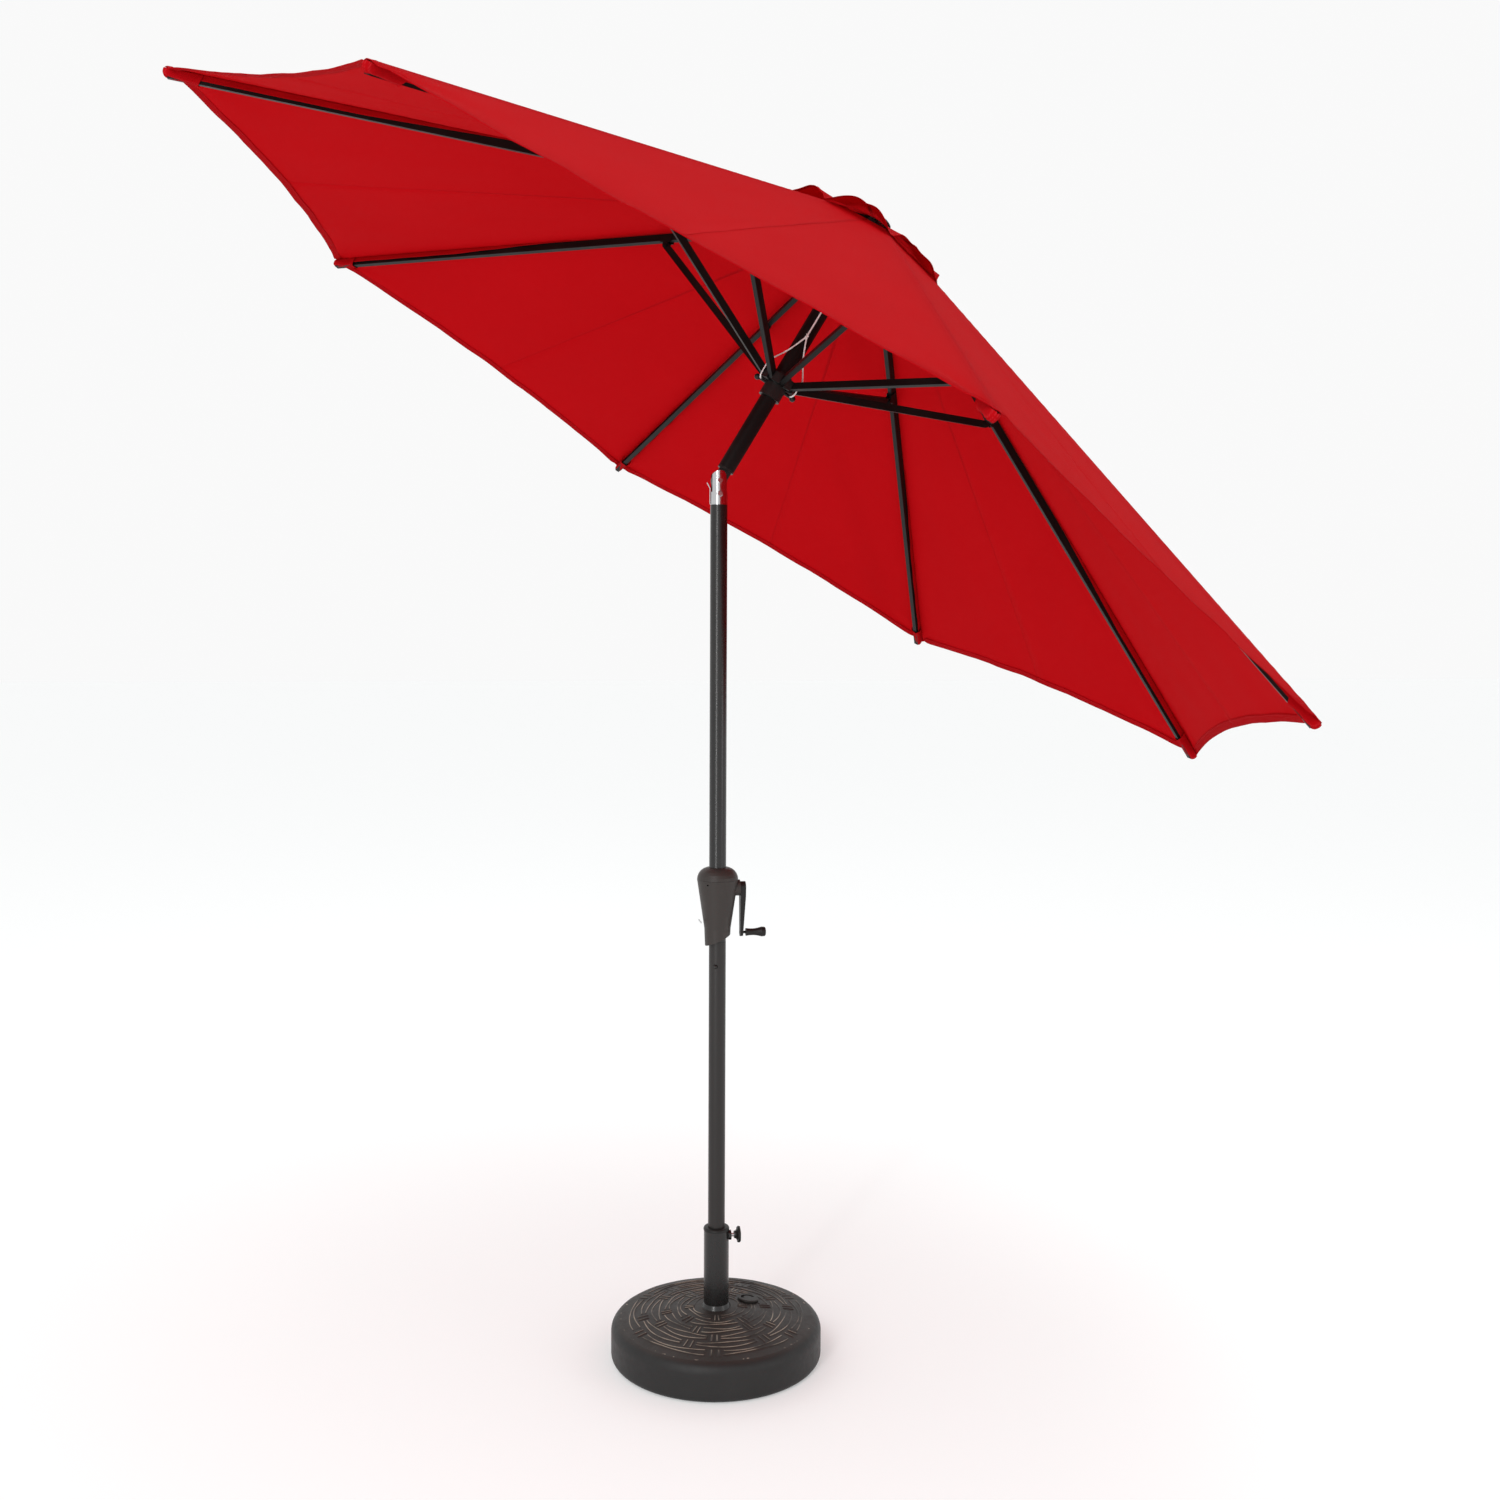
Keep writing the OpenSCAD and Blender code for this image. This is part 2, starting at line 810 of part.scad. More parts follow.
base_shell();
base_ballast();
base_tube();
pole_sleeve();
fill_plug();
clamp_screw();
clamp_knob();
lower_pole();
pole_coupler();
snap_button();
middle_pole();
housing_front();
housing_rear();
housing_cap();
housing_screws();
crank_shaft();
cord_spool();
crank_arm();
grip_pin();
crank_grip();
lower_cord();
tilt_collar();
tilt_pin();
tilt_button();
latch_leaf();
tilt_knuckle();
upper_pole();
upper_cord();
hub();
hub_pins();
finial();
pulley();
runner();
runner_pins();
runner_bolts();
lift_cord();
for (k = [0:ribs - 1]) {
    rib_at(k);
    strut_at(k);
    canopy_at(k);
}
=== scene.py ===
import json
import math

import bpy
import numpy as np
from mathutils import Matrix, Vector


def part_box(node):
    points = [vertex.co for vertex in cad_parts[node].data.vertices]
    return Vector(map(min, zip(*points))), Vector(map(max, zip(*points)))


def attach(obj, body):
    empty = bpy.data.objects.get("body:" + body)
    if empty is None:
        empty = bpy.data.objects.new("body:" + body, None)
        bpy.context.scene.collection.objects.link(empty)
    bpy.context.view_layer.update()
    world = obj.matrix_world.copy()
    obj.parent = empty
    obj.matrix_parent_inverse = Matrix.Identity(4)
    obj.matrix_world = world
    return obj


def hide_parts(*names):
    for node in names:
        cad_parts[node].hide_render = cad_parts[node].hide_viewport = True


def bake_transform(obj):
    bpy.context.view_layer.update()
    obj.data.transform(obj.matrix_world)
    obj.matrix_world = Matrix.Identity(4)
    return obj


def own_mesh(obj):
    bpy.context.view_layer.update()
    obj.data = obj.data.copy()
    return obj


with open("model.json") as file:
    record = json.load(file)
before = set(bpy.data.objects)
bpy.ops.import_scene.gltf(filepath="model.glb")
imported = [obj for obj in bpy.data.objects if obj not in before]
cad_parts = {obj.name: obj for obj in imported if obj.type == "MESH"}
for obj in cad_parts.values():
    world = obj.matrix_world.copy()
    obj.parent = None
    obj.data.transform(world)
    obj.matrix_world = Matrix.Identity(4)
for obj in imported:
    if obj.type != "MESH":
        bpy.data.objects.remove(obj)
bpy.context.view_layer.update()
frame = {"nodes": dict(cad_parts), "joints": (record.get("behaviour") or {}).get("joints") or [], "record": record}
joints = {j["name"]: j for j in frame["joints"]}

MM = 0.001
RIBS = 8
HALF_GORE = math.pi / RIBS

# ---------------------------------------------------------------- canopy frame

# the ribs' pins and the runner's slide give the hub's centre and the three directions of the canopy
rib_pins = [Vector(joints[f"rib_{k}_fold"]["pos_m"]) for k in range(1, RIBS + 1)]
hub = sum(rib_pins, Vector()) / RIBS
along = -Vector(joints["runner_slide"]["axis"]).normalized()
across = Vector(joints["rib_1_fold"]["axis"]).normalized()
outward = across.cross(along)
canopy_axes = np.array([outward, across, along])
pin_ring = (rib_pins[0] - hub).length


def to_row(points):
    """Points of the canopy's frame, with X along rib 1 and Z up its axis, in the row frame."""
    return np.asarray(points) @ canopy_axes + np.array(hub)


def in_canopy(node):
    """The corners of a CAD node's mesh in the canopy's frame."""
    mesh = frame["nodes"][node].data
    flat = np.empty(len(mesh.vertices) * 3)
    mesh.vertices.foreach_get("co", flat)
    return (flat.reshape(-1, 3) - np.array(hub)) @ canopy_axes.T


# ---------------------------------------------------------------- materials

def new_material(name, colour, roughness, metallic=0.0, **sockets):
    """A material with its Principled node, its tree and a maker of linked nodes."""
    mat = bpy.data.materials.new(name)
    mat.use_nodes = True
    tree = mat.node_tree
    shader = tree.nodes["Principled BSDF"]
    shader.inputs["Base Color"].default_value = (*colour, 1)
    shader.inputs["Roughness"].default_value = roughness
    shader.inputs["Metallic"].default_value = metallic
    for socket, value in sockets.items():
        shader.inputs[socket.replace("_", " ")].default_value = value
    return mat, tree, shader


def add(tree, kind, **values):
    """A node of this kind. A value may be a plain setting, or another node's output to link."""
    node = tree.nodes.new(kind)
    for key, value in values.items():
        key = key.replace("_", " ")
        target = node.inputs.get(key)
        if target is None:
            setattr(node, key.replace(" ", "_"), value)
        elif isinstance(value, bpy.types.NodeSocket):
            tree.links.new(value, target)
        else:
            target.default_value = value
    return node


def maths(tree, operation, a, b=0.0, c=0.0):
    """The output of a Math node. Each value is a number or another node's output."""
    node = tree.nodes.new("ShaderNodeMath")
    node.operation = operation
    for socket, value in zip(node.inputs, (a, b, c)):
        if isinstance(value, bpy.types.NodeSocket):
            tree.links.new(value, socket)
        else:
            socket.default_value = value
    return node.outputs[0]


def mix_colours(tree, factor, a, b):
    """Colour a where the factor is 0, and b where it is 1."""
    node = tree.nodes.new("ShaderNodeMix")
    node.data_type = "RGBA"
    for socket, value in ((node.inputs[0], factor), (node.inputs[6], a), (node.inputs[7], b)):
        if isinstance(value, bpy.types.NodeSocket):
            tree.links.new(value, socket)
        else:
            socket.default_value = value if isinstance(value, float) else (*value, 1)
    return node.outputs[2]


def noise(tree, scale, detail=4.0, stretch=(1, 1, 1)):
    """Noise of this scale in the piece's own coordinates, about 0.3 to 0.7."""
    place = add(tree, "ShaderNodeTexCoord").outputs["Object"]
    mapped = add(tree, "ShaderNodeMapping", Vector=place, Scale=stretch)
    texture = add(tree, "ShaderNodeTexNoise", Vector=mapped.outputs[0], Scale=scale, Detail=detail)
    return texture.outputs["Fac"]


def step(tree, value, low, high):
    """0 below low, 1 above high."""
    node = tree.nodes.new("ShaderNodeMapRange")
    node.interpolation_type = "SMOOTHSTEP"
    tree.links.new(value, node.inputs[0])
    node.inputs[1].default_value = low
    node.inputs[2].default_value = high
    return node.outputs[0]


def set_bump(tree, shader, height, distance, strength=1.0):
    """Gives the shader a bump from this height, which is 0 to 1, over this distance."""
    bump = add(tree, "ShaderNodeBump", Height=height, Distance=distance, Strength=strength)
    tree.links.new(bump.outputs[0], shader.inputs["Normal"])


def powder_coat(name, colour, light, roughness, specular=0.28):
    """Baked powder coat: fine orange peel, with a little of the lighter shade where it is thin."""
    mat, tree, shader = new_material(name, colour, roughness, 0.0, Specular_IOR_Level=specular)
    patch = step(tree, noise(tree, 9.0, 5.0, (1, 1, 0.25)), 0.45, 0.75)
    tree.links.new(mix_colours(tree, patch, colour, light), shader.inputs["Base Color"])
    peel = noise(tree, 900.0, 2.0)
    wear = maths(tree, "MULTIPLY_ADD", noise(tree, 40.0), 0.16, roughness - 0.08)
    tree.links.new(wear, shader.inputs["Roughness"])
    set_bump(tree, shader, peel, 0.0002, 0.35)
    return mat


def moulded_plastic(name, colour, light, roughness, grain=700.0):
    """Moulded plastic with a fine spark-eroded grain and faint scuffs."""
    mat, tree, shader = new_material(name, colour, roughness, 0.0, Specular_IOR_Level=0.25)
    scuff = step(tree, noise(tree, 26.0, 8.0), 0.56, 0.78)
    tree.links.new(mix_colours(tree, scuff, colour, light), shader.inputs["Base Color"])
    rough = maths(tree, "MULTIPLY_ADD", noise(tree, 60.0), 0.2, roughness - 0.1)
    tree.links.new(rough, shader.inputs["Roughness"])
    set_bump(tree, shader, noise(tree, grain, 3.0), 0.0003, 0.4)
    return mat


def bright_metal(name, colour, roughness, streaks):
    """Plated steel: long fine polishing streaks and a few duller patches."""
    mat, tree, shader = new_material(name, colour, roughness, 1.0)
    brushed = noise(tree, streaks, 3.0, (1, 1, 12))
    dull = maths(tree, "MULTIPLY_ADD", noise(tree, 35.0, 6.0), 0.22, roughness - 0.06)
    tree.links.new(dull, shader.inputs["Roughness"])
    shade = tuple(0.82 * c for c in colour)
    tree.links.new(mix_colours(tree, brushed, shade, colour), shader.inputs["Base Color"])
    set_bump(tree, shader, brushed, 0.00004, 0.3)
    return mat


def braided_cord(name):
    """White braided polyester, with the crossing strands in height, and in colour as painted shade: darker where
    the braid sits lower, between the strands.
    """
    mat, tree, shader = new_material(name, (0.86, 0.85, 0.82), 0.75, 0.0, Sheen_Weight=0.3)
    uv = add(tree, "ShaderNodeSeparateXYZ", Vector=add(tree, "ShaderNodeTexCoord").outputs["UV"])
    turn = maths(tree, "MULTIPLY", uv.outputs[0], 8 * math.pi)
    run = maths(tree, "MULTIPLY", uv.outputs[1], 2 * math.pi / (5 * MM))
    left = maths(tree, "SINE", maths(tree, "ADD", run, turn))
    right = maths(tree, "SINE", maths(tree, "SUBTRACT", run, turn))
    braid = maths(tree, "MULTIPLY_ADD", maths(tree, "MULTIPLY", left, right), 0.5, 0.5)
    # painted shade: the low parts of the braid, between the strands, get the darker white
    white = mix_colours(tree, braid, (0.74, 0.73, 0.71), (0.93, 0.92, 0.90))
    tree.links.new(white, shader.inputs["Base Color"])
    set_bump(tree, shader, braid, 0.0006, 0.8)
    return mat


def canopy_cloth(name):
    """Solution-dyed polyester: a plain weave, twin rows of stitching beside each seam and one on
    the hem, and light that passes through to the underside."""
    mat, tree, shader = new_material(name, (0.42, 0.0025, 0.0055), 0.85, 0.0, Specular_IOR_Level=0.03)
    uv = add(tree, "ShaderNodeSeparateXYZ", Vector=add(tree, "ShaderNodeTexCoord").outputs["UV"])
    weft, warp = uv.outputs[0], uv.outputs[1]
    hem = add(tree, "ShaderNodeAttribute", attribute_name="hem_distance").outputs["Fac"]

    def rib_wave(value, pitch):
        return maths(tree, "SINE", maths(tree, "MULTIPLY", value, 2 * math.pi / pitch))

    yarn = 0.7 * MM
    weave = maths(tree, "MULTIPLY", rib_wave(weft, yarn), rib_wave(warp, yarn))
    slub = noise(tree, 160.0, 3.0)
    shade = noise(tree, 3.2, 4.0)

    def stitch_row(away, place, along_row):
        near = step(tree, maths(tree, "ABSOLUTE", maths(tree, "SUBTRACT", away, place)), 0.0011, 0.0004)
        on = step(tree, rib_wave(along_row, 3.4 * MM), -0.35, 0.15)
        return maths(tree, "MULTIPLY", near, on)

    from_seam = maths(tree, "ABSOLUTE", weft)
    rows = maths(tree, "ADD", stitch_row(from_seam, 2.2 * MM, warp), stitch_row(from_seam, 7.2 * MM, warp))
    rows = maths(tree, "ADD", rows, stitch_row(hem, 15 * MM, weft))
    thread = maths(tree, "MINIMUM", rows, 1.0)

    dyed = mix_colours(tree, shade, (0.39, 0.0018, 0.0045), (0.45, 0.003, 0.0065))
    woven = mix_colours(tree, maths(tree, "MULTIPLY_ADD", weave, 0.08, maths(tree, "MULTIPLY", slub, 0.16)),
                        dyed, (0.28, 0.001, 0.0025))
    sewn = mix_colours(tree, maths(tree, "MULTIPLY", thread, 0.6), woven, (0.55, 0.022, 0.03))
    tree.links.new(sewn, shader.inputs["Base Color"])
    height = maths(tree, "MULTIPLY_ADD", weave, 0.25, maths(tree, "MULTIPLY_ADD", slub, 0.3, thread))
    set_bump(tree, shader, height, 0.0004, 0.5)

    glow = add(tree, "ShaderNodeBsdfTranslucent")
    glow.inputs["Color"].default_value = (0.50, 0.001, 0.002, 1)
    both = add(tree, "ShaderNodeMixShader", Fac=0.2)
    tree.links.new(shader.outputs[0], both.inputs[1])
    tree.links.new(glow.outputs[0], both.inputs[2])
    tree.links.new(both.outputs[0], tree.nodes["Material Output"].inputs["Surface"])
    return mat


def antiqued_resin(name):
    """Blow-moulded base: black resin, sprayed bronze on top, and a coppery colour in patches on the ridges and the
    rim: wear on the rim, and on the ridges partly a rub-on finish and partly painted highlight along their crests.
    """
    mat, tree, shader = new_material(name, (0.017, 0.016, 0.0155), 0.5, 0.0, Specular_IOR_Level=0.32)
    ridge = add(tree, "ShaderNodeAttribute", attribute_name="ridge").outputs["Fac"]
    top = add(tree, "ShaderNodeAttribute", attribute_name="top_face").outputs["Fac"]
    rub_and_highlight_patches = step(tree, noise(tree, 14.0, 5.0), 0.36, 0.60)
    # painted highlight: where the ridge attribute is high, along the raised lines, the coppery colour stands in
    # for the light they catch; on the rim the same colour is wear
    crest_highlight_and_wear = step(tree, ridge, 0.55, 0.95)
    blotch = noise(tree, 14.0, 7.0)
    body = mix_colours(tree, blotch, (0.0095, 0.0095, 0.0095), (0.017, 0.0165, 0.016))
    bronze = mix_colours(tree, blotch, (0.015, 0.0125, 0.011), (0.028, 0.023, 0.0195))
    sprayed = mix_colours(tree, maths(tree, "MULTIPLY", top, 0.95), body, bronze)
    coppery_colour_and_highlight = mix_colours(tree, noise(tree, 55.0), (0.19, 0.155, 0.125), (0.40, 0.335, 0.26))
    copper_and_highlight_mask = maths(tree, "MULTIPLY", maths(tree, "MULTIPLY", crest_highlight_and_wear, rub_and_highlight_patches), 0.85)
    tree.links.new(mix_colours(tree, copper_and_highlight_mask, sprayed, coppery_colour_and_highlight), shader.inputs["Base Color"])
    rough = maths(tree, "MULTIPLY_ADD", noise(tree, 70.0, 5.0), 0.22, 0.40)
    tree.links.new(rough, shader.inputs["Roughness"])
    set_bump(tree, shader, noise(tree, 420.0, 5.0), 0.0005, 0.5)
    return mat


materials = {
    "base_resin": antiqued_resin("base_resin"),
    "ballast_fill": moulded_plastic("ballast_fill", (0.30, 0.24, 0.16), (0.38, 0.31, 0.21), 0.9),
    "black_steel": powder_coat("black_steel", (0.0065, 0.0062, 0.006), (0.011, 0.0102, 0.0096), 0.26, 0.5),
    "brown_steel": powder_coat("brown_steel", (0.0165, 0.0145, 0.0138), (0.023, 0.020, 0.019), 0.38, 0.34),
    "housing_plastic": moulded_plastic("housing_plastic", (0.034, 0.029, 0.0265),
                                       (0.046, 0.0395, 0.036), 0.45),
    "black_plastic": moulded_plastic("black_plastic", (0.010, 0.0095, 0.009), (0.020, 0.019, 0.018), 0.42),
    "zinc_steel": bright_metal("zinc_steel", (0.62, 0.62, 0.63), 0.30, 120.0),
    "polished_steel": bright_metal("polished_steel", (0.58, 0.58, 0.59), 0.13, 60.0),
    "cord_white": braided_cord("cord_white"),
    "canopy_red": canopy_cloth("canopy_red"),
}
frame_steel = powder_coat("frame_steel", (0.0045, 0.0043, 0.0042), (0.009, 0.0085, 0.008), 0.40, 0.14)
plug_bronze = moulded_plastic("plug_bronze", (0.015, 0.0125, 0.011), (0.03, 0.024, 0.02), 0.5)

slot_of = {s["node"]: s["material_slot"] for s in frame["record"]["subparts"]}
special_looks = {
    "upper_pole": frame_steel,
    "fill_plug": plug_bronze,
    "snap_button": materials["brown_steel"],
    "runner_bolts": materials["black_plastic"],
    "grip_pin": materials["black_plastic"],
}


def dress(obj, material):
    """Makes this the object's only material."""
    obj.data.materials.clear()
    obj.data.materials.append(material)


def ease_edges(obj, width, segments=2):
    """A small round on a CAD node's sharp edges, as a modifier."""
    bevel = obj.modifiers.new("eased_edges", "BEVEL")
    bevel.width = width
    bevel.segments = segments
    bevel.limit_method = "ANGLE"
    bevel.angle_limit = math.radians(40)
    bevel.harden_normals = False


def dress_cad_nodes():
    """Materials for the CAD nodes, and eased edges where they catch the light."""
    for name, obj in frame["nodes"].items():
        is_bar = name.startswith(("rib_", "strut_"))
        material = frame_steel if is_bar else special_looks.get(name, materials[slot_of[name]])
        if not obj.material_slots:
            obj.data.materials.append(material)
        for slot in obj.material_slots:
            slot.material = material
        if is_bar:
            ease_edges(obj, 1.1 * MM)
        elif name in ("crank_arm", "clamp_knob", "crank_grip", "finial", "fill_plug"):
            ease_edges(obj, 0.8 * MM)


# ---------------------------------------------------------------- mesh helpers

def mesh_object(name, points, faces, uv=None, attributes=None, smooth=True):
    """A mesh object. uv has a pair for each corner, and attributes a number for each."""
    mesh = bpy.data.meshes.new(name)
    mesh.from_pydata([tuple(p) for p in points], [], faces)
    for key, values in (attributes or {}).items():
        mesh.attributes.new(key, "FLOAT", "POINT").data.foreach_set("value", np.asarray(values, "f"))
    if uv is not None:
        layer = mesh.uv_layers.new(name="UVMap")
        corners = np.empty(len(mesh.loops), int)
        mesh.loops.foreach_get("vertex_index", corners)
        layer.data.foreach_set("uv", np.asarray(uv, "f")[corners].ravel())
    mesh.polygons.foreach_set("use_smooth", [smooth] * len(mesh.polygons))
    mesh.validate()
    obj = bpy.data.objects.new(name, mesh)
    bpy.context.scene.collection.objects.link(obj)
    return obj


def grid_faces(rows, columns, closed=False):
    """Quads over a grid, row by row, joined round the columns if closed."""
    wrap = columns if closed else columns - 1
    return [(i * columns + j, i * columns + (j + 1) % columns,
             (i + 1) * columns + (j + 1) % columns, (i + 1) * columns + j)
            for i in range(rows - 1) for j in range(wrap)]


def wave_noise(a, b, seed):
    """Smooth repeatable noise of two arrays, near -1 to 1: a few sine waves in fixed directions."""
    total = np.zeros(np.broadcast(a, b).shape)
    for n in range(5):
        turn = 1.7 * seed + 2.399 * n
        rate = 1 + 0.6 * n
        total += np.sin((math.cos(turn) * a + math.sin(turn) * b) * rate + 3.1 * turn) / rate
    return total / 2.2


# ---------------------------------------------------------------- canopy

SLOPE = math.radians(23.8)
CLOTH_RISE = 12.8 * MM / math.cos(SLOPE)   # from the pins to the outer face of the cloth, at the hub
CLOTH_FOOT = 0.13
HEM_DIP = 45 * MM
GORE_SAG = 9 * MM
SEAM_BAND = 8 * MM
SEAM_THICKNESS = 0.8 * MM
SOFT_FOLD = 1.6 * MM
PUCKER, PUCKER_PITCH, PUCKER_REACH = 0.7 * MM, 31 * MM, 16 * MM
CORNER_WAVE, CORNER_REACH = 3.2 * MM, 110 * MM
LAP = 9 * MM
LAP_LIFT = 0.5 * MM
HEM_WIDTH = 18 * MM
VENT_FOOT = 26.2 * MM
VENT_R = 0.215
VENT_TOP = 14.0 * MM
VENT_FALL = 0.33
VENT_DIP = 14 * MM
VENT_LIFT = 21 * MM
VENT_TIE = 12 * MM
VENT_PLEAT = 4.5 * MM
FLAP_IN, FLAP_OUT = 720 * MM, 58 * MM       # where the flap starts, and how far short of the tip it ends
FLAP_DEPTH = 14 * MM
FLAP_GAP = 2.6 * MM
CLOTH_THICKNESS = 0.8 * MM
POCKET_LENGTH = 62 * MM
canopy_r = in_canopy("canopy_1")[:, 0].max()


def cloth_height(r):
    """Height of the cloth's outer face over the pins, on a rib."""
    return CLOTH_RISE - (r - pin_ring) * math.tan(SLOPE)


def on_gore(r, a, z):
    """Points at rib radius r and angle a from the rib, on flat gores, turned with the rib at 0."""
    q = r * math.cos(HALF_GORE) / np.cos(HALF_GORE - np.abs(a))
    return np.stack([q * np.cos(a), q * np.sin(a), z + 0 * q], axis=-1)


def relax(r, a, k):
    """How far the cloth stands off a flat gore: sag, soft folds, and puckers beside the seam."""
    from_middle = (HALF_GORE - np.abs(a)) / HALF_GORE
    share = r / canopy_r
    gore = (k + (a > 0)) % RIBS
    away = r * np.sin(np.abs(a))
    middle = np.sign(a) * (r * math.sin(HALF_GORE) - away)
    sag = -GORE_SAG * share ** 1.3 * (1 - from_middle ** 2)
    held = np.clip(away / 0.05, 0, 1) * np.clip((1.02 - share) / 0.05, 0, 1)
    folds = SOFT_FOLD * held * wave_noise(9 * r + 3 * gore, 30 * middle, 1.0)
    pull = np.sin(2 * math.pi * r / PUCKER_PITCH + 2.2 * k + 2 * np.sin(17 * r))
    pucker = PUCKER * np.exp(-away / PUCKER_REACH) * pull
    tip = canopy_r - r
    fan = np.arctan2(away, np.maximum(tip, 0.01))
    corner = CORNER_WAVE * np.exp(-np.hypot(tip, away) / CORNER_REACH) * np.sin(7 * fan + k)
    corner = corner * np.clip(away / 0.01, 0, 1) * np.clip((0.3 - away) / 0.1, 0, 1)
    band = SEAM_THICKNESS * (away < SEAM_BAND)
    return sag + folds + pucker * (away > 0.001) + corner + band


def hem_radius(a, r, dip):
    """Rib radius of the hem, which runs in by the dip between two ribs."""
    u = np.tan(HALF_GORE - np.abs(a)) / math.tan(HALF_GORE)
    return r - dip * (1 - u ** 2)


def gore_angles(n, power):
    """Angles from mid-gore to mid-gore, closer together at the rib, and two more for the lap."""
    s = np.linspace(-1, 1, n)
    return np.append(HALF_GORE * np.sign(s) * np.abs(s) ** power, [HALF_GORE] * 2)[None, :]


def add_lap(a, r, edge):
    """The angles with the last two moved on over the neighbour, and how far the lap is raised."""
    share = np.zeros(a.shape[1])
    share[-2:] = 0.3, 1.0
    lap = share * np.clip((edge - r) / 0.02, 0, 1)
    return a + LAP * np.clip(1.3 - r, 0.25, 1) / r * lap, LAP_LIFT * np.clip(lap / 0.3, 0, 1)


def fold_under(points, away, depth):
    """Adds the rows of a hem: round the edge and back under the sheet, this many millimetres deep."""
    under, cut_edge = -1.6, -0.8
    rows = [(0.4, -0.5), (0.0, -1.3), (-0.35 * depth, under), (-0.7 * depth, under),
            (-depth, under), (-depth, cut_edge)]
    edge = points[-1]
    outside = edge / np.linalg.norm(edge[:, :2], axis=1)[:, None] * [1, 1, 0]
    fall = math.tan(SLOPE)
    added = [edge + outside * (x * MM) + np.array([0, 0, 1]) * (z * MM - x * MM * fall) for x, z in rows]
    hem = [np.full(len(edge), max(0.0, -x) * MM) for x, _ in rows]
    return np.concatenate([points, added]), np.concatenate([away, hem])


def cloth_piece(name, k, points, away):
    """A sheet of the canopy on rib k, from a grid of points turned with the rib at 0."""
    turn = k * 2 * HALF_GORE
    c, s = math.cos(turn), math.sin(turn)
    turned = points @ np.array([[c, s, 0], [-s, c, 0], [0, 0, 1]])
    rows, columns = points.shape[:2]
    uv = np.stack([points[..., 1], points[..., 0] / math.cos(SLOPE)], axis=-1)
    obj = mesh_object(name, to_row(turned.reshape(-1, 3)), grid_faces(rows, columns),
                      uv.reshape(-1, 2), {"hem_distance": away.ravel()})
    dress(obj, materials["canopy_red"])
    return obj


def thicken(obj):
    """Gives a loose piece of cloth its thickness."""
    thick = obj.modifiers.new("thickness", "SOLIDIFY")
    thick.thickness = CLOTH_THICKNESS


def panel(k):
    """A part of the canopy, from mid-gore to mid-gore, with a lap over its neighbour."""
    a = gore_angles(41, 1.5)
    t = np.linspace(0, 1, 150)[:, None]
    edge = hem_radius(a, canopy_r, HEM_DIP)
    r = CLOTH_FOOT + (edge - CLOTH_FOOT) * t
    a, raised = add_lap(a, r, edge)
    points = on_gore(r, a, cloth_height(r) + relax(r, a, k) + raised)
    away = (edge - r) + 0 * a
    points, away = fold_under(points, away, HEM_WIDTH / MM)
    return cloth_piece(f"canopy_panel_{k + 1}", k, points, away)


def vent_panel(k):
    """A part of the vent cap: tied down at the rib, and standing open between two ribs."""
    a = gore_angles(49, 1.35)
    t = np.linspace(0, 1, 44)[:, None]
    gore = (k + (a > 0)) % RIBS
    edge = hem_radius(a, VENT_R, VENT_DIP) + 3 * MM * np.sin(3 * np.abs(a) / HALF_GORE + gore)
    r = VENT_FOOT + (edge - VENT_FOOT) * t
    a, raised = add_lap(a, r, edge)
    from_rib = 1 - np.abs(HALF_GORE - np.abs(a)) / HALF_GORE
    tied = np.exp(-(a / math.radians(4.5)) ** 2)
    middle = np.sin(from_rib * math.pi / 2)
    lift = VENT_LIFT * middle ** 1.2 * (0.85 + 0.3 * np.sin(2.4 * gore))
    pleat = VENT_PLEAT * np.sin(5 * from_rib + 1.9 * gore) * (1 - tied) * middle
    z = VENT_TOP - (r - VENT_FOOT) * VENT_FALL + raised
    z = z + t ** 1.8 * (lift + pleat) - VENT_TIE * t ** 2 * tied
    points = on_gore(r, a, z)
    points, away = fold_under(points, (edge - r) + 0 * a, 8.0)
    return cloth_piece(f"vent_panel_{k + 1}", k, points, away)


def tip_pocket(k):
    """The cloth pocket under a corner, which the rib's end sits in: a short sock, open to the hub."""
    rib_tip = in_canopy("rib_1")[:, 0].max()
    stations = np.array([0, 0.02, 0.10, 0.28, 0.5, 0.7, 0.84, 0.93, 0.98, 1.0])
    half_width = np.array([15, 14, 12.5, 11.5, 11, 10.5, 9.5, 7.5, 4.5, 1.5]) * MM
    depth = np.array([25.5, 24.5, 23.5, 22.8, 22.5, 22, 20, 14.5, 8, 2]) * MM
    rows = []
    for n, (s, w, d) in enumerate(zip(stations, half_width, depth)):
        r = rib_tip - POCKET_LENGTH + (POCKET_LENGTH + 9 * MM) * s
        across_arc = np.linspace(0, math.pi, 17)
        crease = 1 + 0.05 * np.sin(5 * across_arc + 1.7 * n + k)
        y = -w * np.cos(across_arc) * crease
        drop = d * np.sin(across_arc) ** 0.55 * crease
        drop[[0, -1]] = 0
        top = cloth_height(r + np.abs(y) * math.tan(HALF_GORE)) - 1.5 * MM
        rows.append(np.stack([r + 0 * y, y, top - drop], axis=-1))
    points = np.array(rows)
    obj = cloth_piece(f"tip_pocket_{k + 1}", k, points, np.full(points.shape[:2], 1.0))
    thicken(obj)
    smooth = obj.modifiers.new("smooth", "SUBSURF")
    smooth.levels = smooth.render_levels = 1
    return obj


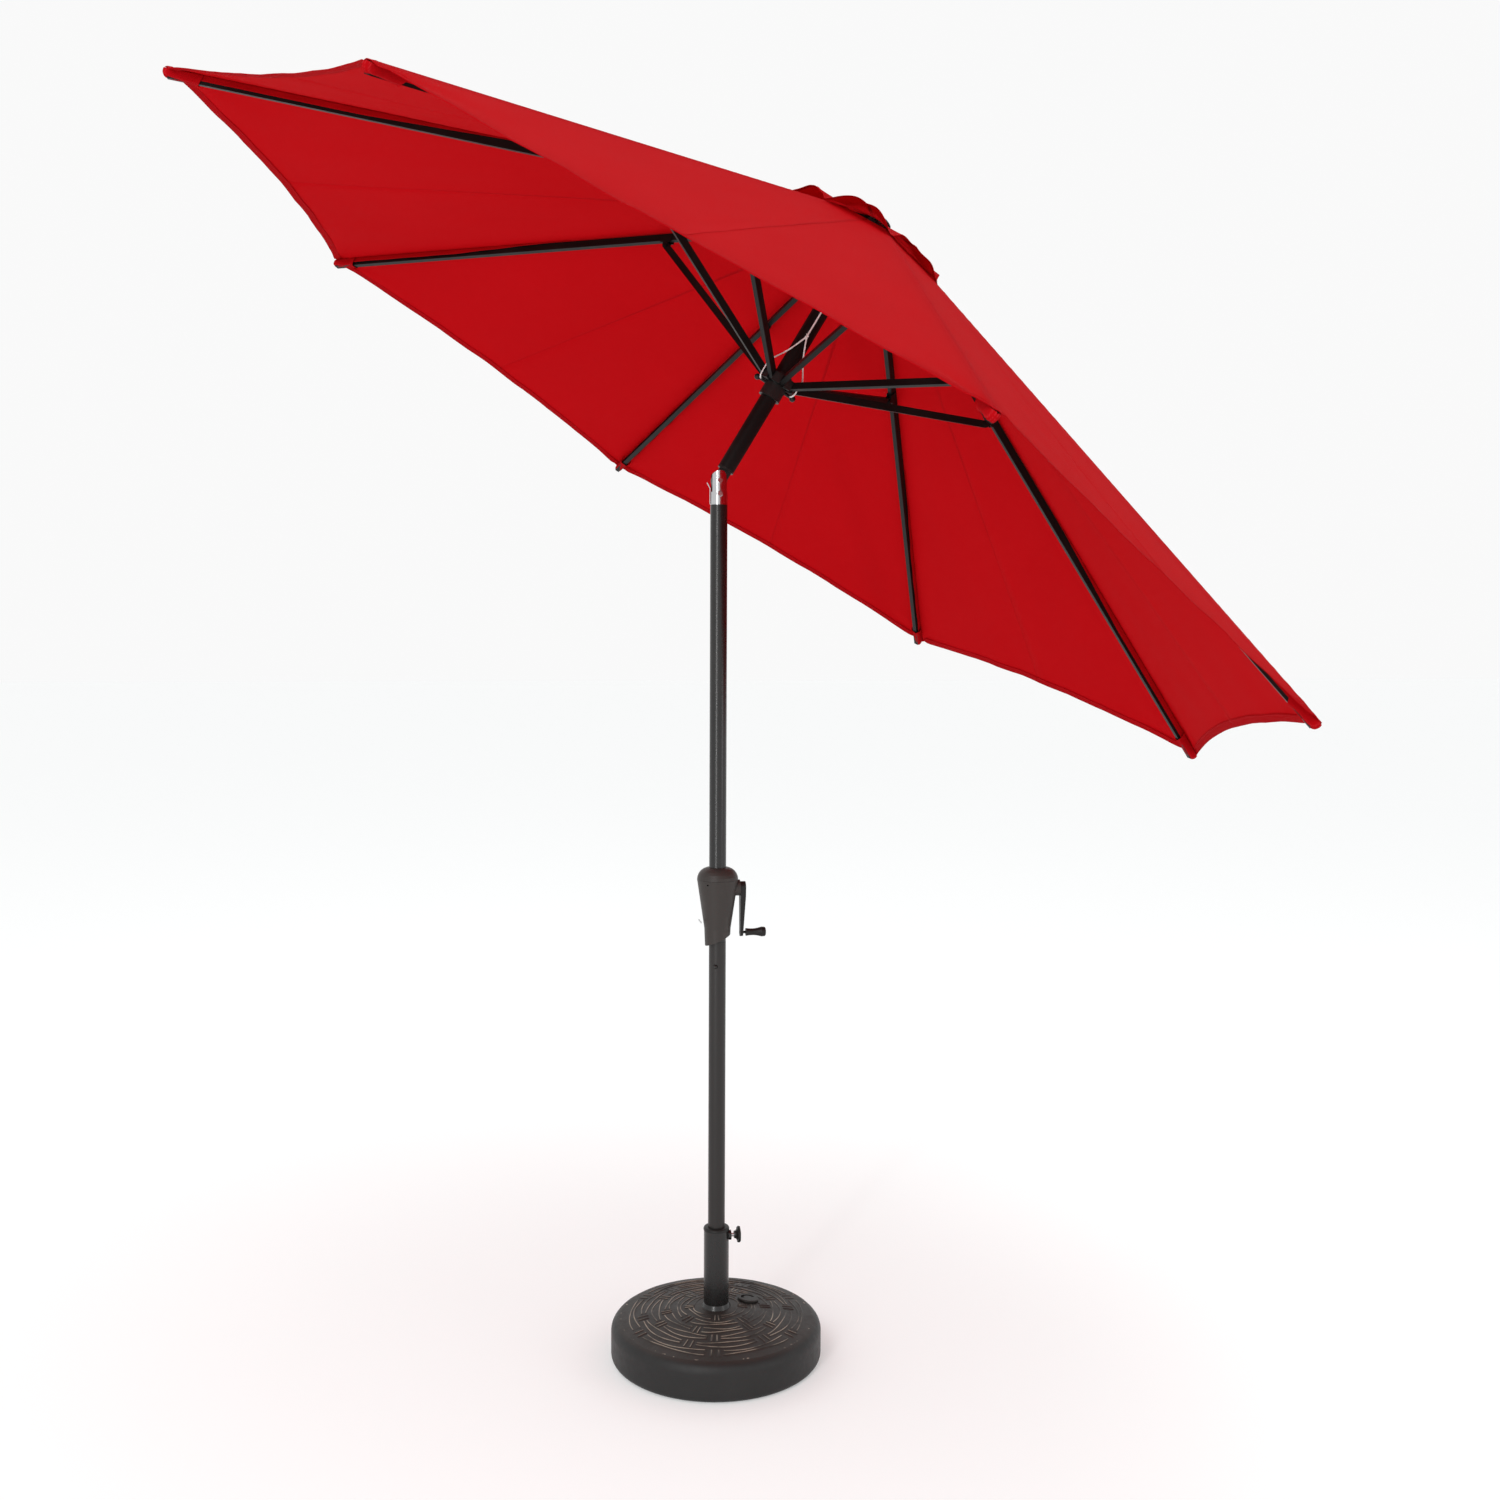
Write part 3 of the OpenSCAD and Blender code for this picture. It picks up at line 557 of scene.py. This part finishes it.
def seam_flap(k, side):
    """The seam's spare cloth, which hangs beside the outer part of the rib."""
    rib = in_canopy("rib_1")
    beside = np.abs(rib[rib[:, 0] > FLAP_IN][:, 1]).max() + FLAP_GAP
    t = np.linspace(0, 1, 60)[:, None]
    down = np.linspace(0, 1, 6)[None, :]
    r = FLAP_IN + (canopy_r - FLAP_OUT - FLAP_IN) * t
    deep = FLAP_DEPTH * np.clip(t / 0.5, 0.12, 1)
    y = side * (beside + 1.2 * MM * down + 0.9 * MM * down * np.sin(60 * r + 2 * k + side))
    top = cloth_height(r + np.abs(y) * math.tan(HALF_GORE)) - 1.2 * MM
    points = np.stack([r + 0 * y, y, top - deep * down], axis=-1)
    name = f"seam_flap_{k + 1}" + ("a" if side < 0 else "b")
    obj = cloth_piece(name, k, points, np.full(points.shape[:2], 1.0))
    thicken(obj)
    return obj


def fold_keep(r, z):
    """How narrow a panel would have to get at the fold's limit, so that neighbours still meet between ribs there.
    """
    fold = math.radians(max(abs(x) for x in joints["rib_1_fold"]["range_deg"]))
    middle = r * math.cos(HALF_GORE) ** 2
    folded = pin_ring + (middle - pin_ring) * math.cos(fold) + z * math.sin(fold)
    return folded / middle


def build_canopy():
    """All the cloth: each part rides its rib. How narrow the cloth and the cap would get at the fold's limit is
    worked out, but nothing narrows them.
    """
    hem_r, vent_r = canopy_r - HEM_DIP, VENT_R - VENT_DIP
    cloth_keep = fold_keep(hem_r, cloth_height(hem_r) - GORE_SAG)
    cap_keep = fold_keep(vent_r, VENT_TOP - (vent_r - VENT_FOOT) * VENT_FALL + 0.2 * VENT_LIFT)
    for k in range(RIBS):
        rib = f"rib_{k + 1}"
        cloth, cap, pocket = panel(k), vent_panel(k), tip_pocket(k)
        for piece, keep in ((cloth, cloth_keep), (cap, cap_keep)):
            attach(piece, rib)
            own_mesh(piece)
        flaps = [seam_flap(k, side) for side in (-1, 1)]
        for piece in (pocket, *flaps):
            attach(piece, rib)
        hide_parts(f"canopy_{k + 1}")


# ---------------------------------------------------------------- base

BASE_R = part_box("base_shell")[1][0]
BASE_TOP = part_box("base_shell")[1][2]
SHOULDER_R = 24 * MM
SHOULDER_Z = BASE_TOP - 50 * MM
FOOT_R = 14 * MM
SOCKET_R = 28.4 * MM
PLUG = Vector((84 * MM * math.cos(math.radians(22)), 84 * MM * math.sin(math.radians(22)), 0))
WEAVE_IN, WEAVE_OUT = 46 * MM, 206 * MM
WEAVE_RINGS = 6
RIDGE = 1.9 * MM
STRAND = 1.2 * MM                           # half the width of a raised line
STRAND_SHARE = 0.82                         # the part of a sector that its arcs take up


def base_profile():
    """Radius and height from the socket's rim out over the top, down the side and in below."""
    top_r = np.linspace(SOCKET_R, BASE_R - SHOULDER_R + 6 * MM, 235)
    top_z = np.interp(top_r, [34 * MM, 80 * MM, 150 * MM, top_r[-1]],
                      [BASE_TOP, BASE_TOP - 5 * MM, BASE_TOP - 15 * MM, SHOULDER_Z + 23.4 * MM])
    turn = np.linspace(math.radians(72), 0, 16)
    shoulder = (BASE_R - SHOULDER_R + SHOULDER_R * np.cos(turn), SHOULDER_Z + SHOULDER_R * np.sin(turn))
    side_z = np.linspace(SHOULDER_Z, FOOT_R, 14)[1:-1]
    side = (np.full(len(side_z), BASE_R), side_z)
    turn = np.linspace(0, -math.pi / 2, 9)
    foot = (BASE_R - FOOT_R + FOOT_R * np.cos(turn), FOOT_R + FOOT_R * np.sin(turn))
    below = (np.array([0.16, 0.08, 0.002]), np.zeros(3))
    inner = (np.array([SOCKET_R, SOCKET_R]), np.array([BASE_TOP - 60 * MM, BASE_TOP - 20 * MM]))
    parts = [inner, (top_r, top_z), shoulder, side, foot, below]
    return [np.concatenate([p[i] for p in parts]) for i in (0, 1)]


def weave(r, phi):
    """Embossed basket weave, 0 to 1: rings of raised strands that pass over and under radial pairs."""
    ring = (r - WEAVE_IN) / (WEAVE_OUT - WEAVE_IN) * WEAVE_RINGS
    number = np.floor(ring)
    place = ring - number
    sectors = np.where(number < 2, 4, 6)
    spot = phi / (2 * math.pi) * sectors + 0.5 * (number % 2) + 0.09 * np.sin(2.7 * number)
    spot = spot - np.floor(spot)
    width = (WEAVE_OUT - WEAVE_IN) / WEAVE_RINGS

    def line(distance, half):
        return np.clip(1.6 - np.abs(distance) / half, 0, 1) ** 0.8

    drift = 0.10 * np.sin(sectors * phi + 1.9 * number)
    strands = np.maximum(line((place - 0.2 - drift) * width, STRAND),
                         line((place - 0.64 + drift) * width, STRAND))
    strands = np.maximum(strands, 0.35 * np.clip(1 - np.abs(place - 0.42) / 0.3, 0, 1) ** 0.3)
    around = 2 * math.pi * r / sectors
    over = np.clip((STRAND_SHARE / 2 - np.abs(spot - STRAND_SHARE / 2)) * around / (4 * MM), 0, 1)
    bars = np.maximum(line((spot - 0.88) * around, STRAND), line((spot - 0.96) * around, STRAND))
    bars = bars * (spot > 0.83) * np.clip(place / 0.08, 0, 1) * np.clip((1 - place) / 0.08, 0, 1)
    inside = np.clip(ring * 4, 0, 1) * np.clip((WEAVE_RINGS - ring) * 4, 0, 1)
    return np.maximum(strands * over, bars) * inside


def build_base():
    """The embossed shell: the profile turned round the axis, with the weave on its top."""
    r, z = base_profile()
    columns = 720
    phi = np.linspace(0, 2 * math.pi, columns, endpoint=False)[None, :]
    r, z = r[:, None], z[:, None]
    ridge = weave(r, phi) * (z > BASE_TOP - 40 * MM)
    x, y = r * np.cos(phi), r * np.sin(phi)
    near_plug = np.hypot(x - PLUG.x, y - PLUG.y)
    ridge = ridge * np.clip((near_plug - 27 * MM) / (3 * MM), 0, 1)
    dents = 0.35 * MM * wave_noise(40 * x, 40 * y, 3.0) * (r < BASE_R - 6 * MM) * (z > 0.05)
    height = z + ridge * RIDGE + dents
    top = np.clip((z - SHOULDER_Z - 18 * MM) / (4 * MM), 0, 1) + 0 * phi
    rim = np.exp(-((r - (BASE_R - 21 * MM)) / (4 * MM)) ** 2) * (z > SHOULDER_Z + 5 * MM)
    # the ridge attribute carries painted highlight along the raised lines of the weave, and real wear in streaks
    # on the rim
    wear = np.maximum(ridge, rim * np.clip(1.5 * wave_noise(260 * x, 260 * y, 5.0) - 0.2, 0, 1))
    points = np.stack([x, y, height + 0 * phi], axis=-1).reshape(-1, 3)
    faces = [f[::-1] for f in grid_faces(len(r), columns, closed=True)]
    obj = mesh_object("base_body", points, faces, None,
                      {"ridge": wear.ravel(), "top_face": top.ravel()})
    dress(obj, materials["base_resin"])
    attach(obj, "root")
    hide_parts("base_shell")


# ---------------------------------------------------------------- lift cord

CORD_R = 1.8 * MM
SPLIT_OVER_RUNNER = 112 * MM


def cord_run(route, r, turns_per_m=220.0, sides=10):
    """A twisted round cord along a smooth curve through the route's points."""
    route = np.array(route, float)
    steps = np.linspace(0, len(route) - 1, 14 * (len(route) - 1) + 1)
    low = np.clip(steps.astype(int), 0, len(route) - 2)
    t = (steps - low)[:, None]
    before, after = route[np.clip(low - 1, 0, None)], route[np.clip(low + 2, None, len(route) - 1)]
    p0, p1 = route[low], route[low + 1]
    m0, m1 = (p1 - before) / 2, (after - p0) / 2
    line = ((2 * t ** 3 - 3 * t ** 2 + 1) * p0 + (t ** 3 - 2 * t ** 2 + t) * m0
            + (-2 * t ** 3 + 3 * t ** 2) * p1 + (t ** 3 - t ** 2) * m1)
    way = np.gradient(line, axis=0)
    way /= np.linalg.norm(way, axis=1)[:, None]
    side = np.cross(way, [0, 1, 0])
    side /= np.linalg.norm(side, axis=1)[:, None]
    up = np.cross(way, side)
    run = np.concatenate([[0], np.cumsum(np.linalg.norm(np.diff(line, axis=0), axis=1))])
    turn = np.linspace(0, 2 * math.pi, sides, endpoint=False)[None, :]
    radius = r * (1 + 0.05 * np.cos(2 * turn + turns_per_m * 2 * run[:, None]))
    around = side[:, None] * np.cos(turn)[..., None] + up[:, None] * np.sin(turn)[..., None]
    points = line[:, None] + around * radius[..., None]
    uv = np.stack([turn / (2 * math.pi) + 0 * run[:, None], run[:, None] + 0 * turn], axis=-1)
    return points, uv


def build_cord():
    """The strand from the pulley splits above the runner into two legs, tied to the runner's bolts."""
    pulley = in_canopy("pulley").mean(axis=0)
    runner = in_canopy("runner_pins")[:, 2].mean()
    turn = math.atan2(*(Vector(joints["pulley_turn"]["axis"]).dot(v) for v in (across, outward)))
    c, s = math.cos(turn), math.sin(turn)
    split = runner + SPLIT_OVER_RUNNER
    y = -23.3 * MM
    main = [(0, y, pulley[2] - 0.1 * MM), (0, y, split + 60 * MM), (0, y, split - 4 * MM)]
    parts = [cord_run(main, CORD_R)]
    for side in (-1, 1):
        leg = [(0.6, y / MM, 4), (4, y / MM + 0.6, -8), (20, -20, -45), (40, -15.6, -78), (44, -15, -90),
               (44, -15, -113), (43.4, -14, -121), (40.6, -9.2, -126), (38.3, -5, -127)]
        route = [(side * p[0] * MM, p[1] * MM, split + p[2] * MM) for p in leg]
        parts.append(cord_run(route, CORD_R * 0.92))
    knot = [(math.sin(u) * 2.6 * MM, y + math.cos(u) * 1.4 * MM, split - 3 * MM + u * 0.9 * MM)
            for u in np.linspace(0, 4 * math.pi, 17)]
    parts.append(cord_run(knot, CORD_R * 0.7))
    points, uvs, faces, start = [], [], [], 0
    for grid, uv in parts:
        rows, columns = grid.shape[:2]
        faces += [tuple(start + i for i in f) for f in grid_faces(rows, columns, closed=True)]
        faces += [tuple(start + j for j in range(columns))[::-1],
                  tuple(start + (rows - 1) * columns + j for j in range(columns))]
        points.append(grid.reshape(-1, 3))
        uvs.append(uv.reshape(-1, 2))
        start += rows * columns
    flat = np.concatenate(points) @ np.array([[c, s, 0], [-s, c, 0], [0, 0, 1]])
    obj = mesh_object("lift_rope", to_row(flat), faces, np.concatenate(uvs))
    dress(obj, materials["cord_white"])
    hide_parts("lift_cord")
    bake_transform(obj)


# ---------------------------------------------------------------- scene

CAMERA_PLACE = (-0.531, -3.5217, 1.6629)
CAMERA_TURN = (9.571, -2.7395, 0.247)       # yaw, pitch and roll in degrees, from looking along +Y
CAMERA_LENS = 38.465
CAMERA_SHIFT = (0.0026, -0.0355)


def build_camera():
    """The photograph's viewpoint: eye height, a little to the left of the tilt's axis."""
    data = bpy.data.cameras.new("camera")
    data.sensor_width = 36
    data.lens = CAMERA_LENS
    data.shift_x, data.shift_y = CAMERA_SHIFT
    data.clip_end = 200
    camera = bpy.data.objects.new("camera", data)
    bpy.context.scene.collection.objects.link(camera)
    yaw, pitch, roll = (math.radians(x) for x in CAMERA_TURN)
    ahead = Vector((math.sin(yaw) * math.cos(pitch), math.cos(yaw) * math.cos(pitch), math.sin(pitch)))
    right = Vector((math.cos(yaw), -math.sin(yaw), 0))
    up = right.cross(ahead)
    right, up = (right * math.cos(roll) + up * math.sin(roll), up * math.cos(roll) - right * math.sin(roll))
    turn = Matrix((right, up, -ahead)).transposed().to_4x4()
    camera.matrix_world = Matrix.Translation(CAMERA_PLACE) @ turn
    bpy.context.scene.camera = camera


def add_light(name, place, target, size, power, height=None):
    """An area light: a disk, or a tall rectangle if a height is given."""
    data = bpy.data.lights.new(name, "AREA")
    data.shape = "RECTANGLE" if height else "DISK"
    data.size = size
    data.size_y = height or size
    data.energy = power
    light = bpy.data.objects.new(name, data)
    light.location = place
    light.rotation_euler = (Vector(target) - Vector(place)).to_track_quat("-Z", "Y").to_euler()
    bpy.context.scene.collection.objects.link(light)


def build_studio():
    """A pale floor, a white surround and four soft lights."""
    mesh = bpy.data.meshes.new("floor")
    half = 40.0
    corners = [(-half, -half, 0), (half, -half, 0), (half, half, 0), (-half, half, 0)]
    mesh.from_pydata(corners, [], [(0, 1, 2, 3)])
    floor = bpy.data.objects.new("floor", mesh)
    bpy.context.scene.collection.objects.link(floor)
    floor.location.z = -0.5 * MM
    # some light of its own brings the floor up to the background's white, and weakens the red it takes on
    paper, _, shader = new_material("floor_paper", (0.70, 0.71, 0.71), 0.9,
                                    Emission_Strength=0.27, Specular_IOR_Level=0.1)
    shader.inputs["Emission Color"].default_value = (1, 1, 1, 1)
    mesh.materials.append(paper)
    world = bpy.data.worlds.new("studio")
    world.use_nodes = True
    surround = world.node_tree.nodes["Background"]
    surround.inputs["Color"].default_value = (1, 1, 1, 1)
    surround.inputs["Strength"].default_value = 0.95
    bpy.context.scene.world = world
    bpy.context.scene.view_settings.view_transform = "Standard"
    # the tall narrow light draws the bright line down the poles
    add_light("strip", (-2.35, -3.85, 1.6), (0, 0, 1.4), 0.28, 46, height=3.0)
    add_light("key", (-3.0, -5.0, 5.2), (0.2, 0, 1.5), 2.6, 100)
    add_light("sky", (0.8, 0.6, 6.5), (0.3, 0, 1.8), 4.0, 60)
    add_light("fill", (4.5, -3.5, 1.6), (0.2, 0, 1.0), 2.0, 25)


build_camera()
build_studio()
dress_cad_nodes()
build_canopy()
build_base()
build_cord()
